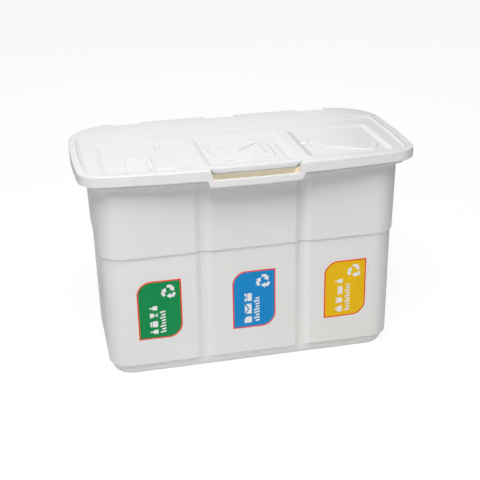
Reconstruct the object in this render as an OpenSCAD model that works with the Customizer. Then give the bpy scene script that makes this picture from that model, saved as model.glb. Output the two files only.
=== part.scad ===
// Recycling bin station: one outer tub with a hinged lid over three removable sorting bins.
// Millimetres, +X to the right, +Y to the back, +Z up. The origin is on the floor under the middle.

/* [Overall size] */
// Width across the rim
rim_width = 650; // [520:1:800]
// Depth across the rim, from its front edge to its back edge
rim_depth = 353; // [290:1:430]
// Height of the rim's top face above the floor
rim_height = 424; // [340:1:520]

/* [Tub wall] */
// Wall thickness of the tub
tub_wall = 3; // [2:0.1:4]
// Distance from the rim's side edge in to the top of the tub wall
side_overhang = 29; // [24:1:36]
// Distance from the rim's front and back edges in to the top of the tub wall
end_overhang = 35.5; // [29:0.5:43]
// Radius of the tub's upright corners
tub_corner = 50; // [38:1:60]
// Height of the step between the bays and the upper band
step_height = 250; // [200:1:300]
// How far the upper band stands out from the bays
step_proud = 3.2; // [1:0.1:5]
// Height of the plinth under the bays
plinth_height = 20; // [12:1:30]
// How much the plinth draws in towards the floor
plinth_draw = 5.7; // [3:0.1:8]
// Lean of the upper band, sideways travel for each unit of height
upper_draft = 0.027; // [0.01:0.001:0.04]
// Lean of the bays, sideways travel for each unit of height
bay_draft = 0.012; // [0.005:0.001:0.03]
// Height of the underside recess inside the standing ring
foot_recess = 3; // [1:0.5:5]
// Width of the standing ring
foot_ring = 12; // [8:1:18]

/* [Flutes] */
// Distance from the middle to the centre of each flute
flute_x = 98; // [82:1:112]
// Width of a flute at its mouth
flute_mouth = 36; // [30:1:43]
// Width of a flute's floor
flute_floor = 10; // [6:1:14]
// Depth of a flute, which is also how far the bays stand out from the plinth
flute_depth = 5.2; // [3:0.1:7]

/* [Rim] */
// Width of the flat band around the rim
band_width = 14; // [11:0.5:17]
// Height of the rim's turned-down skirt
skirt_height = 19.5; // [14:0.5:24]
// Rounding between the band and the skirt
band_round = 1.5; // [0.5:0.1:2.5]
// Radius of the rim's front corners
rim_front_corner = 45; // [36:1:60]
// Radius of the rim's back corners
rim_back_corner = 100; // [80:1:120]
// How far the rim's front edge falls back at its two ends
front_bow = 23; // [14:0.1:30]
// How far the side edges draw in towards the ends
side_bow = 10; // [4:0.5:14]
// How far the rim drops at the grip in the middle of the front
grip_drop = 19; // [14:0.5:24]
// Height of the skirt at the grip
grip_skirt = 14; // [10:0.5:18]

/* [Lid] */
// Thickness of the lid
lid_wall = 3; // [2.4:0.1:3.6]
// Clearance around the lid inside the band
lid_gap = 1.2; // [0.8:0.1:2]
// Clearance between the lid and its seat
seat_gap = 0.3; // [0.2:0.1:0.6]
// Width of the ledge that the lid rests on
seat_width = 4.5; // [3:0.5:7]
// How far the lid's plate lies below the band and the deck
plate_drop = 2.5; // [1:0.1:3.5]
// Distance from the middle of the depth to the crease where the plate starts to rise
crease_y = 78; // [60:1:90]
// Run of the sloped part behind the crease
slope_run = 62; // [50:1:70]
// Depth of the three sunk panels
panel_depth = 3; // [1.5:0.1:4]
// Thickness of a sunk panel's floor
panel_wall = 2.5; // [2:0.1:3.5]
// Width of the rib between two panels
rib_width = 23; // [16:1:30]
// Height of the stiffening rib under the lid
under_rib = 9; // [5:0.5:12]
// Height of the turned-down lip at the grip
lip_height = 8.5; // [7:0.5:12]

/* [Hinge] */
// Radius of a hinge pin
pin_radius = 2.6; // [2:0.1:3.2]
// Radial running clearance of a pin in the tub's knuckles
pin_clearance = 0.08; // [0.04:0.01:0.1]
// Radius of the knuckles
knuckle_radius = 5.5; // [4.8:0.1:6]
// Width of a notch in the lid's back edge
notch_width = 64; // [54:1:76]
// Distance from the middle to the centre of an outer notch
notch_x = 199; // [166:1:210]
// Thickness of the lid's cheeks beside a notch
cheek = 5; // [4:0.5:7]

/* [Sorting bins] */
// Wall thickness of a bin
bin_wall = 2; // [1.6:0.1:3]
// Clearance between two neighbouring bin rims
bin_gap = 1.5; // [1:0.1:3]
// Clearance between the outer bins and the tub at the floor
bin_side_gap = 4; // [3:0.5:8]
// Height of the bin rims below the top of the tub's rim
bin_drop = 22; // [20:0.5:40]
// Radius of a bin's upright corners
bin_corner = 30; // [24:1:36]
// Thickness of a bin's rim
bin_rim = 5; // [3:0.5:8]
// How far a bin's rim stands out at its front and back
bin_flange = 9; // [6:0.5:11]
// How far the lifting lip stands out beyond the rim
lift_lip = 3.5; // [2:0.5:5]
// Half the width of a lifting lip
lift_half = 45; // [34:1:52]

/* [Labels] */
// Width of a label
label_width = 86; // [70:1:104]
// Height of a label
label_height = 123; // [102:1:148]
// Radius of a label's two round corners
label_round = 28; // [20:1:34]
// Height of a label's centre above the floor
label_z = 138; // [115:1:160]
// Distance from the middle to the centre of an outer label
label_pitch = 186; // [160:1:200]
// Thickness of a label
label_thickness = 0.5; // [0.3:0.1:1]

/* [Hidden] */

half_width = rim_width / 2;
half_depth = rim_depth / 2;
wall_half_width = half_width - side_overhang;
wall_half_depth = half_depth - end_overhang;
skin = 0.1;                                  // gap that keeps a label off the tub's face
eps = 0.01;

// Heights around the rim
lid_top = rim_height - plate_drop;
lid_under = lid_top - lid_wall;
deck_top = rim_height;
deck_under = deck_top - lid_wall;
seat_z = lid_under - seat_gap;
skirt_z = rim_height - skirt_height;
grip_top_z = rim_height - grip_drop;
grip_skirt_z = grip_top_z - grip_skirt;
back_band_z = seat_z;
back_skirt_z = back_band_z - skirt_height + tub_wall;
flare_rise = 8;                              // height of the flare that carries the rim
flare_foot_z = skirt_z - 8.5 - flare_rise;
back_ledge = 5;                              // width of the tub's rim under the lid's deck
back_bead = 1;                               // narrow, so that it passes outside the lid's edge

// Hinge line
hinge_y = half_depth - knuckle_radius;
hinge_z = deck_under - knuckle_radius;
knuckle_gap = 0.6;
notch_y = hinge_y - knuckle_radius - 1.5;
back_inset = half_depth - notch_y + 1;       // the tub's back rim stops short of the lid's cheeks

// Sizes of the wall at its heights, as half width and half depth of the outside
function upper_shrink(z) = upper_draft * (flare_foot_z - z);
step_shrink = upper_shrink(step_height) + step_proud;
function bay_shrink(z) = step_shrink + bay_draft * (step_height - z);
plinth_shrink = bay_shrink(plinth_height) + flute_depth;

// Points around an outline: the right half runs from the front middle to the back middle,
// and the left half mirrors it, so every outline has the same number of points.
mouth_in = flute_x - flute_mouth / 2;
mouth_out = flute_x + flute_mouth / 2;
grip_half = mouth_in;
grip_edge = 6;                               // run over which the grip's ends rise
front_angles = [-90 : 15 : 0];
back_angles = [0, 6, 12, 22, 34, 46, 57, 68, 79, 90];
side_steps = [1 : 5];

function front_xs(last) = concat(
    [grip_half / 2, grip_half, grip_half + grip_edge, flute_x - flute_floor / 2],
    [flute_x + flute_floor / 2, mouth_out],
    [for (k = [1 : 3]) mouth_out + (last - mouth_out) * k / 4]);
function flute_at(x, depth) =
    depth * max(0, min(1, (flute_mouth / 2 - abs(x - flute_x)) / (flute_mouth / 2 - flute_floor / 2)));
function reversed(v) = [for (i = [len(v) - 1 : -1 : 0]) v[i]];
function mirrored(half) = concat(half, reversed([for (p = half) concat([-p[0], p[1]], len(p) > 2 ? [p[2]] : [])]));

// Right half of a wall outline: straight faces, equal round corners and a flute near each corner bay
function wall_half(w, d, r, flute) =
    let (xs = front_xs(w - r))
    concat([for (x = xs) [x, flute_at(x, flute) - d]],
           [for (a = front_angles) [w - r + r * cos(a), r * sin(a) - d + r]],
           [for (k = side_steps) [w, (d - r) * (k / 3 - 1)]],
           [for (a = back_angles) [w - r + r * cos(a), d - r + r * sin(a)]],
           [for (x = reversed(xs)) [x, d - flute_at(x, flute)]]);
function wall_ring(shrink, flute, z, inside = 0) =
    [for (p = mirrored(wall_half(wall_half_width - shrink - inside, wall_half_depth - shrink - inside,
                                 tub_corner - min(shrink, 10) - inside, flute))) [p[0], p[1], z]];

// Right half of the rim outline: bowed front, slightly bowed sides and large back corners
function front_y(x) = front_bow * pow(x / half_width, 2) - half_depth;
function side_x(y) = half_width - side_bow * pow(y / half_depth, 2);
front_cy = front_y(half_width - rim_front_corner) + rim_front_corner;
front_cx = side_x(front_cy) - rim_front_corner;
back_cy = half_depth - rim_back_corner;
back_cx = side_x(back_cy) - rim_back_corner;
function rim_half(inset) =
    let (xs = front_xs(front_cx), rf = rim_front_corner - inset, rb = rim_back_corner - inset)
    concat([for (x = xs) [x, front_y(x) + inset]],
           [for (a = front_angles) [front_cx + rf * cos(a), front_cy + rf * sin(a)]],
           [for (k = side_steps)
               let (y = front_cy + (back_cy - front_cy) * k / 6) [side_x(y) - inset, y]],
           [for (a = back_angles) [back_cx + rb * cos(a), back_cy + rb * sin(a)]],
           [for (x = reversed(front_xs(back_cx))) [x, half_depth - inset]]);

// The rim has three stretches: plain, at the grip, and along the back under the lid's deck.
// Each is given as [inset from the outline, height], and the points between two stretches blend.
first_back = 9 + 7 + 5 + 1;                  // first point of the back stretch along a half
function at_grip(i) = i < 2 ? 1 : 0;
function at_back(i, start) = i >= start ? 1 : 0;
function rim_points(plain, grip, back, start = first_back) =
    let (a = rim_half(plain[0]), b = rim_half(grip[0]), c = rim_half(back[0]))
    mirrored([for (i = [0 : len(a) - 1])
        let (g = at_grip(i), k = at_back(i, start), n = 1 - g - k, p = n * a[i] + g * b[i] + k * c[i])
        [p[0], p[1], n * plain[1] + g * grip[1] + k * back[1]]]);

// A closed skin through a list of rings, closed at both ends by a fan around the ring's middle
function middle(ring) = [for (axis = [0 : 2]) (max([for (p = ring) p[axis]]) + min([for (p = ring) p[axis]])) / 2];
module loft(rings) {
    n = len(rings[0]);
    last = len(rings) - 1;
    first_middle = n * (last + 1);
    points = concat([for (ring = rings) each ring], [middle(rings[0]), middle(rings[last])]);
    faces = concat(
        [for (i = [0 : n - 1]) [first_middle, i, (i + 1) % n]],
        [for (k = [0 : last - 1]) for (i = [0 : n - 1])
            each [[k * n + i, (k + 1) * n + i, (k + 1) * n + (i + 1) % n],
                  [k * n + i, (k + 1) * n + (i + 1) % n, k * n + (i + 1) % n]]],
        [for (i = [0 : n - 1]) [first_middle + 1, last * n + (i + 1) % n, last * n + i]]);
    polyhedron(points, faces);
}

module x_cylinder(x, length, radius) {
    translate([x - length / 2, hinge_y, hinge_z])
        rotate([0, 90, 0])
            cylinder(h = length, r = radius, $fn = 64);
}

notches = [-notch_x, 0, notch_x];

module tub() {
    t = tub_wall;
    band_in = band_width;
    seat_in = band_width + seat_width;
    color("white")
    difference() {
        union() {
            loft([
                wall_ring(plinth_shrink + plinth_draw, 0, foot_recess, foot_ring + 2),
                wall_ring(plinth_shrink + plinth_draw, 0, 0, foot_ring),
                wall_ring(plinth_shrink + plinth_draw, 0, 0),
                wall_ring(plinth_shrink, 0, plinth_height - 1),
                wall_ring(bay_shrink(plinth_height), flute_depth, plinth_height + 1.5),
                wall_ring(bay_shrink(step_height), flute_depth, step_height - 1),
                wall_ring(upper_shrink(step_height), flute_depth, step_height + 1),
                wall_ring(0, flute_depth / 2, flare_foot_z),
                rim_points([seat_in - t, flare_foot_z + flare_rise], [t + 5, grip_top_z - t - 3],
                           [back_inset + back_ledge, flare_foot_z + flare_rise]),
                rim_points([seat_in - t, seat_z - t], [t + 4, grip_top_z - t - 2],
                           [back_inset + back_ledge, back_band_z - t - 1]),
                rim_points([band_in - t, seat_z - t], [t + 3, grip_top_z - t - 1],
                           [back_inset + t + 1.5, back_band_z - t - 0.5]),
                rim_points([band_in - t, rim_height - t], [t + 2, grip_top_z - t - 0.5],
                           [back_inset + t + 1, back_band_z - t]),
                rim_points([t, rim_height - t], [t, grip_top_z - t], [back_inset + t, back_band_z - t]),
                rim_points([t, skirt_z], [t, grip_skirt_z], [back_inset + t, back_skirt_z]),
                rim_points([0, skirt_z], [0, grip_skirt_z], [back_inset, back_skirt_z]),
                rim_points([0, rim_height - band_round], [0, grip_top_z - band_round],
                           [back_inset, back_band_z - band_round]),
                rim_points([band_round, rim_height], [band_round, grip_top_z],
                           [back_inset + 0.4 * back_bead, back_band_z]),
                rim_points([band_in, rim_height], [t + 1.5, grip_top_z],
                           [back_inset + back_bead, back_band_z]),
                rim_points([band_in + 0.1, seat_z], [t + 2, grip_top_z - 0.4],
                           [back_inset + back_bead + 0.1, back_band_z - 0.1]),
                rim_points([seat_in, seat_z], [t + 3, grip_top_z - 1],
                           [back_inset + back_ledge + t, back_band_z - 0.2]),
                rim_points([seat_in, flare_foot_z + flare_rise], [t + 8, grip_top_z - t - 2],
                           [back_inset + back_ledge + t, flare_foot_z + flare_rise]),
                wall_ring(0, flute_depth / 2, flare_foot_z, t),
                wall_ring(upper_shrink(step_height), flute_depth, step_height + 1 - t, t),
                wall_ring(bay_shrink(step_height), flute_depth, step_height - 1 - t, t),
                wall_ring(bay_shrink(plinth_height), flute_depth, plinth_height + 1.5 + t, t),
                wall_ring(plinth_shrink, 0, plinth_height - 1 + t, t),
                wall_ring(plinth_shrink + plinth_draw, 0, foot_recess + t, t)
            ]);
            for (x = notches) {
                length = notch_width - 2 * knuckle_gap;
                x_cylinder(x, length, knuckle_radius);
                translate([x - length / 2, notch_y - 4, hinge_z - knuckle_radius])
                    cube([length, hinge_y - notch_y + 4, knuckle_radius]);
            }
        }
        for (x = notches)
            x_cylinder(x, notch_width + 2, pin_radius + pin_clearance);
    }
}

// Outline of the lid: inside the band at the front and sides, over the tub's edge at the back
lid_inset = band_width + lid_gap;
lid_outline = [for (p = rim_points([lid_inset, 0], [lid_inset, 0], [0, 0], first_back + 1)) [p[0], p[1]]];
panel_corner = 16;
panel_margin = 22;                           // from the lid's side edge to an outer panel
panel_clearance = 1.3;                       // between a panel's tray and the seat at the front
side_panel_out = half_width - side_bow - lid_inset - panel_margin;
panel_front_y = front_y(side_panel_out - panel_corner) + band_width + seat_width + panel_wall
                + panel_clearance;
panel_back_y = crease_y - 35;

function rounded_rect(x0, x1, y0, y1, r) = [
    for (c = [[x1 - r, y0 + r, -90], [x1 - r, y1 - r, 0], [x0 + r, y1 - r, 90], [x0 + r, y0 + r, 180]])
        for (a = [0 : 15 : 90]) [c[0] + r * cos(c[2] + a), c[1] + r * sin(c[2] + a)]];

module lid_profile() {
    slope_y = crease_y + slope_run;
    shift = lid_wall * plate_drop / slope_run / 2;
    translate([-half_width, 0, 0])
        rotate([90, 0, 90])
            linear_extrude(rim_width)
                polygon([[-half_depth, lid_top], [crease_y, lid_top], [slope_y, deck_top],
                         [half_depth, deck_top], [half_depth, deck_under], [slope_y + shift, deck_under],
                         [crease_y + shift, lid_under], [-half_depth, lid_under]]);
}

// The three panels as [left edge, right edge]
panels = [[-side_panel_out, -flute_x - rib_width / 2],
          [rib_width / 2 - flute_x, flute_x - rib_width / 2],
          [flute_x + rib_width / 2, side_panel_out]];

module panel_blocks(grow, z0, z1) {
    for (p = panels)
        translate([0, 0, z0])
            linear_extrude(z1 - z0)
                polygon(rounded_rect(p[0] - grow, p[1] + grow, panel_front_y - grow,
                                     panel_back_y + grow, panel_corner + grow));
}

function rib_outline(inset, back) =
    [for (p = rim_points([inset, 0], [inset, 0], [inset + back, 0])) [p[0], p[1]]];

module lid() {
    panel_z = lid_top - panel_depth;
    tray_z = panel_z - panel_wall;
    lip_gap = 1.5;                           // between the lip's ends and the ends of the grip
    rib_inset = band_width + seat_width + 2;
    rib_thickness = 2;
    rib_back = 26;                           // keeps the rib's back stretch off the slope
    color("whitesmoke")
    difference() {
        union() {
            intersection() {
                lid_profile();
                translate([0, 0, lid_under - 1])
                    linear_extrude(deck_top - lid_under + 2)
                        polygon(lid_outline);
            }
            panel_blocks(panel_wall, tray_z, lid_top - eps);
            // Stiffening rib that reaches down inside the seat, along the front and sides
            difference() {
                translate([0, 0, lid_under - under_rib])
                    linear_extrude(under_rib + lid_wall / 2)
                        polygon(rib_outline(rib_inset, rib_back));
                translate([0, 0, lid_under - under_rib - 1])
                    linear_extrude(under_rib + 1 + lid_wall)
                        polygon(rib_outline(rib_inset + rib_thickness, rib_back));
                translate([-half_width, crease_y - 4, 0])
                    cube([rim_width, half_depth, rim_height]);
            }
            // Lip over the grip
            translate([lip_gap - grip_half, front_y(grip_half) + lid_inset, lid_top - lip_height])
                cube([2 * (grip_half - lip_gap), lid_wall, lip_height - lid_wall / 2]);
            for (x = notches)
                for (side = [-1, 1])
                    cheek_block(x + side * (notch_width + cheek) / 2);
        }
        panel_blocks(0, panel_z, deck_top);
        for (x = notches) {
            translate([x - notch_width / 2, notch_y, deck_under - 1])
                cube([notch_width, half_depth, lid_wall + 2]);
            x_cylinder(x, notch_width + 2 * cheek, pin_radius);
        }
    }
}

module cheek_block(x) {
    x_cylinder(x, cheek, knuckle_radius);
    translate([x - cheek / 2, hinge_y - knuckle_radius, hinge_z])
        cube([cheek, 2 * knuckle_radius, deck_under + lid_wall / 2 - hinge_z]);
}

module hinge_pin(x) {
    color("gainsboro")
        x_cylinder(x, notch_width + 2 * cheek, pin_radius);
}

// Sorting bins: three alike, side by side, standing on the tub's floor
floor_z = foot_recess + tub_wall;
bin_foot_z = floor_z + seat_gap;
bin_top_z = rim_height - bin_drop;
inner_half_width = wall_half_width - plinth_shrink - plinth_draw - tub_wall;
bin_rim_gap = 3;                             // between an outer bin's rim and the tub's wall
bin_pitch = (2 * wall_half_width - 2 * tub_wall - 2 * bin_rim_gap) / 3 - bin_gap;
bin_half_width = (bin_pitch - bin_gap) / 2;
bin_foot_half_width = inner_half_width - bin_side_gap - bin_pitch;
bin_step_gap = 3.5;                          // between a bin and the inside of the step
bin_foot_extra = 2;                          // further clearance at the foot, front and back
bin_half_depth = wall_half_depth - step_shrink - tub_wall - bin_step_gap;
bin_foot_half_depth = wall_half_depth - plinth_shrink - plinth_draw - tub_wall - bin_side_gap
                      - bin_foot_extra;
bin_flange_x = 4;                            // how far the rim stands out at its sides
bin_neck = 14;                               // height over which the rim rolls outwards

// Right half of a bin outline, whose lifting lips stand out at the middle of the front and back
function bin_half(w, d, r, lip) =
    let (run = w - r, xs = lip > 0 ? [lift_half / 2, lift_half, lift_half + 6] : [run * 0.4, run * 0.7, run * 0.85])
    concat([for (k = [0 : 2]) [xs[k], k < 2 ? -d - lip : -d]],
           [for (a = front_angles) [w - r + r * cos(a), r * sin(a) - d + r]],
           [for (a = [0 : 15 : 90]) [w - r + r * cos(a), d - r + r * sin(a)]],
           [for (k = [2 : -1 : 0]) [xs[k], k < 2 ? d + lip : d]]);
function bin_ring(x, w, d, r, z, lip = 0) =
    [for (p = mirrored(bin_half(w, d, r, lip))) [p[0] + x, p[1], z]];

module bin(x) {
    top_w = bin_half_width - bin_flange_x;
    top_d = bin_half_depth;
    neck_z = bin_top_z - bin_neck;
    r = bin_corner;
    t = bin_wall;
    rim_r = r + 4;
    color("wheat")
        loft([
            bin_ring(x, bin_foot_half_width - 3, bin_foot_half_depth - 3, r - 3, bin_foot_z),
            bin_ring(x, bin_foot_half_width, bin_foot_half_depth, r, bin_foot_z + 3),
            bin_ring(x, top_w, top_d, r, neck_z),
            bin_ring(x, bin_half_width - 1, top_d + bin_flange - 1, rim_r, bin_top_z - bin_rim, lift_lip),
            bin_ring(x, bin_half_width, top_d + bin_flange, rim_r, bin_top_z - bin_rim + 1, lift_lip),
            bin_ring(x, bin_half_width, top_d + bin_flange, rim_r, bin_top_z - 1, lift_lip),
            bin_ring(x, bin_half_width - 1, top_d + bin_flange - 1, rim_r, bin_top_z, lift_lip),
            bin_ring(x, top_w - t + 1, top_d - t + 1, r - t, bin_top_z),
            bin_ring(x, top_w - t, top_d - t, r - t, neck_z),
            bin_ring(x, bin_foot_half_width - t, bin_foot_half_depth - t, r - t, bin_foot_z + 3 + t),
            bin_ring(x, bin_foot_half_width - t - 3, bin_foot_half_depth - t - 3, r - t - 3, bin_foot_z + t)
        ]);
}

// A label follows the lean of the bay's face. Its upper left and lower right corners are round.
bay_lean = atan(bay_draft);
label_points = concat(
    [[label_width / 2, label_height / 2]],
    [for (a = [90 : 10 : 180])
        [label_round * (1 + cos(a)) - label_width / 2, label_height / 2 - label_round * (1 - sin(a))]],
    [[-label_width / 2, -label_height / 2]],
    [for (a = [270 : 10 : 360])
        [label_width / 2 - label_round * (1 - cos(a)), label_round * (1 + sin(a)) - label_height / 2]]);

module label(x, shade) {
    face_y = bay_shrink(label_z) - wall_half_depth;
    color(shade)
        translate([x, face_y - skin, label_z])
            rotate([90 + bay_lean, 0, 0])
                linear_extrude(label_thickness)
                    polygon(label_points);
}

tub();
lid();
hinge_pin(-notch_x);  // hinge_pin_left
hinge_pin(0);  // hinge_pin_middle
hinge_pin(notch_x);  // hinge_pin_right
bin(-bin_pitch);  // bin_glass
bin(0);  // bin_paper
bin(bin_pitch);  // bin_plastic
label(-label_pitch, "seagreen");  // label_glass
label(0, "steelblue");  // label_paper
label(label_pitch, "goldenrod");  // label_plastic
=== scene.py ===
# %% [markdown]
# # A recycling station with three sorting bins
# The station is one white moulded tub with a hinged lid. Three sand-coloured bins stand
# inside it, and a coloured label on each bay says what goes where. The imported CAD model
# is loaded first, because its bodies move and every detailed piece has to ride on one.

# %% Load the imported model
import math

import bmesh
import bpy
from mathutils import Matrix, Vector


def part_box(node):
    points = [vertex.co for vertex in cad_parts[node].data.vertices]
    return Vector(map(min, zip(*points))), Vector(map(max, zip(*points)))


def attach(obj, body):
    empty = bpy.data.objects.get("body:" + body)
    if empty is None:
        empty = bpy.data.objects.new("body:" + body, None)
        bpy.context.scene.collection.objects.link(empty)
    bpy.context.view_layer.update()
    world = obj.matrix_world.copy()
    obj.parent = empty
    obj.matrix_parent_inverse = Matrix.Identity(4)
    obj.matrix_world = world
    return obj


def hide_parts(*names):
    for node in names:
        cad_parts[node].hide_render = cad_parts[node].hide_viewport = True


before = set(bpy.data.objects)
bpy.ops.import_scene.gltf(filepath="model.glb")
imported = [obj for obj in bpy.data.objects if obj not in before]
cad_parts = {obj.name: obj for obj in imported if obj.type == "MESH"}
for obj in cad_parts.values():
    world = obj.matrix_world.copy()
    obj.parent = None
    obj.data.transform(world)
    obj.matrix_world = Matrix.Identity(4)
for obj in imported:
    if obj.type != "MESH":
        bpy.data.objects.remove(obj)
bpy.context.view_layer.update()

MM = 0.001
scene = bpy.context.scene
# The shapes below are drawn in millimetres, with the lid's back edge at this y.
LID_BACK_Y = 176.5
SHIFT_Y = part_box("lid")[1].y / MM - LID_BACK_Y

# %% [markdown]
# ## Camera
# The camera stands in front of the left half, above the lid, and looks down at the object.
# A long lens keeps the verticals calm. Its matrix is built from three directions, which is
# easier to read than three Euler angles: right, up, and backwards.

# %% Camera
CAMERA_PLACE = Vector((-0.3854, -1.8168, 0.9951))
YAW, PITCH, ROLL = (math.radians(a) for a in (12.84, -22.88, -0.89))
ahead = Vector((math.sin(YAW) * math.cos(PITCH), math.cos(YAW) * math.cos(PITCH), math.sin(PITCH)))
level = Vector((math.cos(YAW), -math.sin(YAW), 0))
above = level.cross(ahead)
right = level * math.cos(ROLL) + above * math.sin(ROLL)
up = above * math.cos(ROLL) - level * math.sin(ROLL)
camera = bpy.data.objects.new("camera", bpy.data.cameras.new("camera"))
camera.data.sensor_width = 36
camera.data.lens = 73.67
camera.data.shift_x = -0.026
camera.data.shift_y = -0.003
camera.data.clip_end = 60
camera.matrix_world = Matrix((
    (right.x, up.x, -ahead.x, CAMERA_PLACE.x), (right.y, up.y, -ahead.y, CAMERA_PLACE.y),
    (right.z, up.z, -ahead.z, CAMERA_PLACE.z), (0, 0, 0, 1)))
scene.collection.objects.link(camera)
scene.camera = camera
print("camera looks along", [round(c, 3) for c in ahead])

# %% [markdown]
# ## Light
# White plastic shows its shape only through soft shading. One large soft panel hangs high in
# front, so the lid is bright, the walls are a step darker, and the rim throws a soft shadow
# down the front. A weak panel lifts the left end, another lifts the back edge, and a faint
# even dome fills the rest. The plain view transform keeps whites white.

# %% Dome and soft panel
scene.view_settings.view_transform = "Standard"
DOME_COLOUR, DOME_STRENGTH = (1, 1, 1, 1), 0.15
world = bpy.data.worlds.new("dome")
scene.world = world
world.use_nodes = True
backdrop = world.node_tree.nodes["Background"]
backdrop.inputs["Color"].default_value = DOME_COLOUR
backdrop.inputs["Strength"].default_value = DOME_STRENGTH


def soft_panel(name, place, target, size, watts):
    light = bpy.data.objects.new(name, bpy.data.lights.new(name, "AREA"))
    light.data.size = size
    light.data.energy = watts
    light.location = place
    light.rotation_euler = (Vector(target) - Vector(place)).to_track_quat("-Z", "Y").to_euler()
    scene.collection.objects.link(light)
    return light


soft_panel("panel_high_front", (-0.4, -1.3, 2.6), (0, 0, 0.3), 1.4, 70)
soft_panel("panel_low_left", (-2.2, -1.4, 0.8), (0, 0, 0.2), 1.2, 4)
soft_panel("panel_back", (0.2, 2.2, 1.6), (0, 0, 0.35), 1.6, 8.5)

# %% [markdown]
# ## Floor
# The floor is a plain white sheet. For the lens alone it also glows, so that it fades to white
# behind the object as an evenly lit studio sweep does. The light it throws back is unchanged.

# %% Floor
floor_mesh = bpy.data.meshes.new("floor")
bm = bmesh.new()
bmesh.ops.create_grid(bm, x_segments=1, y_segments=1, size=20)
bm.to_mesh(floor_mesh)
bm.free()
floor = bpy.data.objects.new("floor", floor_mesh)
scene.collection.objects.link(floor)
paper = bpy.data.materials.new("studio_paper")
paper.use_nodes = True
shader = paper.node_tree.nodes["Principled BSDF"]
shader.inputs["Base Color"].default_value = (0.85, 0.85, 0.85, 1)
shader.inputs["Roughness"].default_value = 0.9
sweep = paper.node_tree
glow = sweep.nodes.new("ShaderNodeEmission")
glow.inputs["Strength"].default_value = 1.06
lens_only = sweep.nodes.new("ShaderNodeLightPath")
share = sweep.nodes.new("ShaderNodeMath")
share.operation = "MULTIPLY"
share.inputs[1].default_value = 0.86
blend = sweep.nodes.new("ShaderNodeMixShader")
sweep.links.new(lens_only.outputs["Is Camera Ray"], share.inputs[0])
sweep.links.new(share.outputs[0], blend.inputs[0])
sweep.links.new(shader.outputs[0], blend.inputs[1])
sweep.links.new(glow.outputs[0], blend.inputs[2])
sweep.links.new(blend.outputs[0], sweep.nodes["Material Output"].inputs["Surface"])
floor_mesh.materials.append(paper)
print("floor is", round(floor.dimensions.x), "m wide")

# %% [markdown]
# ## Moulded plastic
# All white and sand-coloured pieces are moulded polypropylene: a satin surface with a very
# fine spark-eroded grain, and slow waves in gloss where the wall cooled unevenly. One node
# group makes both, and each material gives it its own colour and amounts.

# %% Node group for moulded plastic


def new_group(name, numbers, colours, outputs):
    group = bpy.data.node_groups.new(name, "ShaderNodeTree")
    for label, value in colours.items():
        group.interface.new_socket(label, in_out="INPUT", socket_type="NodeSocketColor").default_value = value
    for label, value in numbers.items():
        group.interface.new_socket(label, in_out="INPUT", socket_type="NodeSocketFloat").default_value = value
    for label, kind in outputs.items():
        group.interface.new_socket(label, in_out="OUTPUT", socket_type=kind)
    return group, group.nodes.new("NodeGroupInput"), group.nodes.new("NodeGroupOutput")


def noise(tree, scale, detail, stretch=(1, 1, 1)):
    place = tree.nodes.new("ShaderNodeTexCoord")
    turn = tree.nodes.new("ShaderNodeMapping")
    turn.inputs["Scale"].default_value = stretch
    texture = tree.nodes.new("ShaderNodeTexNoise")
    texture.inputs["Scale"].default_value = scale
    texture.inputs["Detail"].default_value = detail
    tree.links.new(place.outputs["Object"], turn.inputs["Vector"])
    tree.links.new(turn.outputs["Vector"], texture.inputs["Vector"])
    return texture.outputs["Fac"]


def spread(tree, value, low, high):
    node = tree.nodes.new("ShaderNodeMapRange")
    node.inputs["From Min"].default_value = 0.3
    node.inputs["From Max"].default_value = 0.7
    for socket, source in (("Value", value), ("To Min", low), ("To Max", high)):
        if isinstance(source, (int, float)):
            node.inputs[socket].default_value = source
        else:
            tree.links.new(source, node.inputs[socket])
    return node.outputs["Result"]


def mixed(tree, factor, first, second):
    node = tree.nodes.new("ShaderNodeMix")
    node.data_type = "RGBA"
    for index, source in ((0, factor), (6, first), (7, second)):
        tree.links.new(source, node.inputs[index])
    return node.outputs[2]


def math_node(tree, kind, first, second):
    node = tree.nodes.new("ShaderNodeMath")
    node.operation = kind
    for index, source in enumerate((first, second)):
        if isinstance(source, (int, float)):
            node.inputs[index].default_value = source
        else:
            tree.links.new(source, node.inputs[index])
    return node.outputs[0]


moulded, ins, outs = new_group(
    "moulded_plastic",
    {"Gloss Low": 0.30, "Gloss High": 0.42, "Grain": 0.5, "Flow": 0.5},
    {"Colour": (0.8, 0.8, 0.8, 1), "Cloud": (0.75, 0.75, 0.73, 1)},
    {"Colour": "NodeSocketColor", "Roughness": "NodeSocketFloat", "Height": "NodeSocketFloat"})
clouds = noise(moulded, 9, 3)
specks = noise(moulded, 900, 2)
grain = noise(moulded, 2600, 2)
flow = noise(moulded, 22, 2, (1, 1, 0.35))
cloud_mask = spread(moulded, clouds, 0.0, 1.0)
moulded.links.new(mixed(moulded, cloud_mask, ins.outputs["Colour"], ins.outputs["Cloud"]),
                  outs.inputs["Colour"])
gloss = spread(moulded, flow, ins.outputs["Gloss Low"], ins.outputs["Gloss High"])
moulded.links.new(math_node(moulded, "ADD", gloss, math_node(moulded, "MULTIPLY", specks, 0.05)),
                  outs.inputs["Roughness"])
fine = math_node(moulded, "MULTIPLY", grain, ins.outputs["Grain"])
slow = math_node(moulded, "MULTIPLY", flow, ins.outputs["Flow"])
moulded.links.new(math_node(moulded, "ADD", fine, slow), outs.inputs["Height"])
print("moulded_plastic has", len(moulded.nodes), "nodes")


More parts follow.
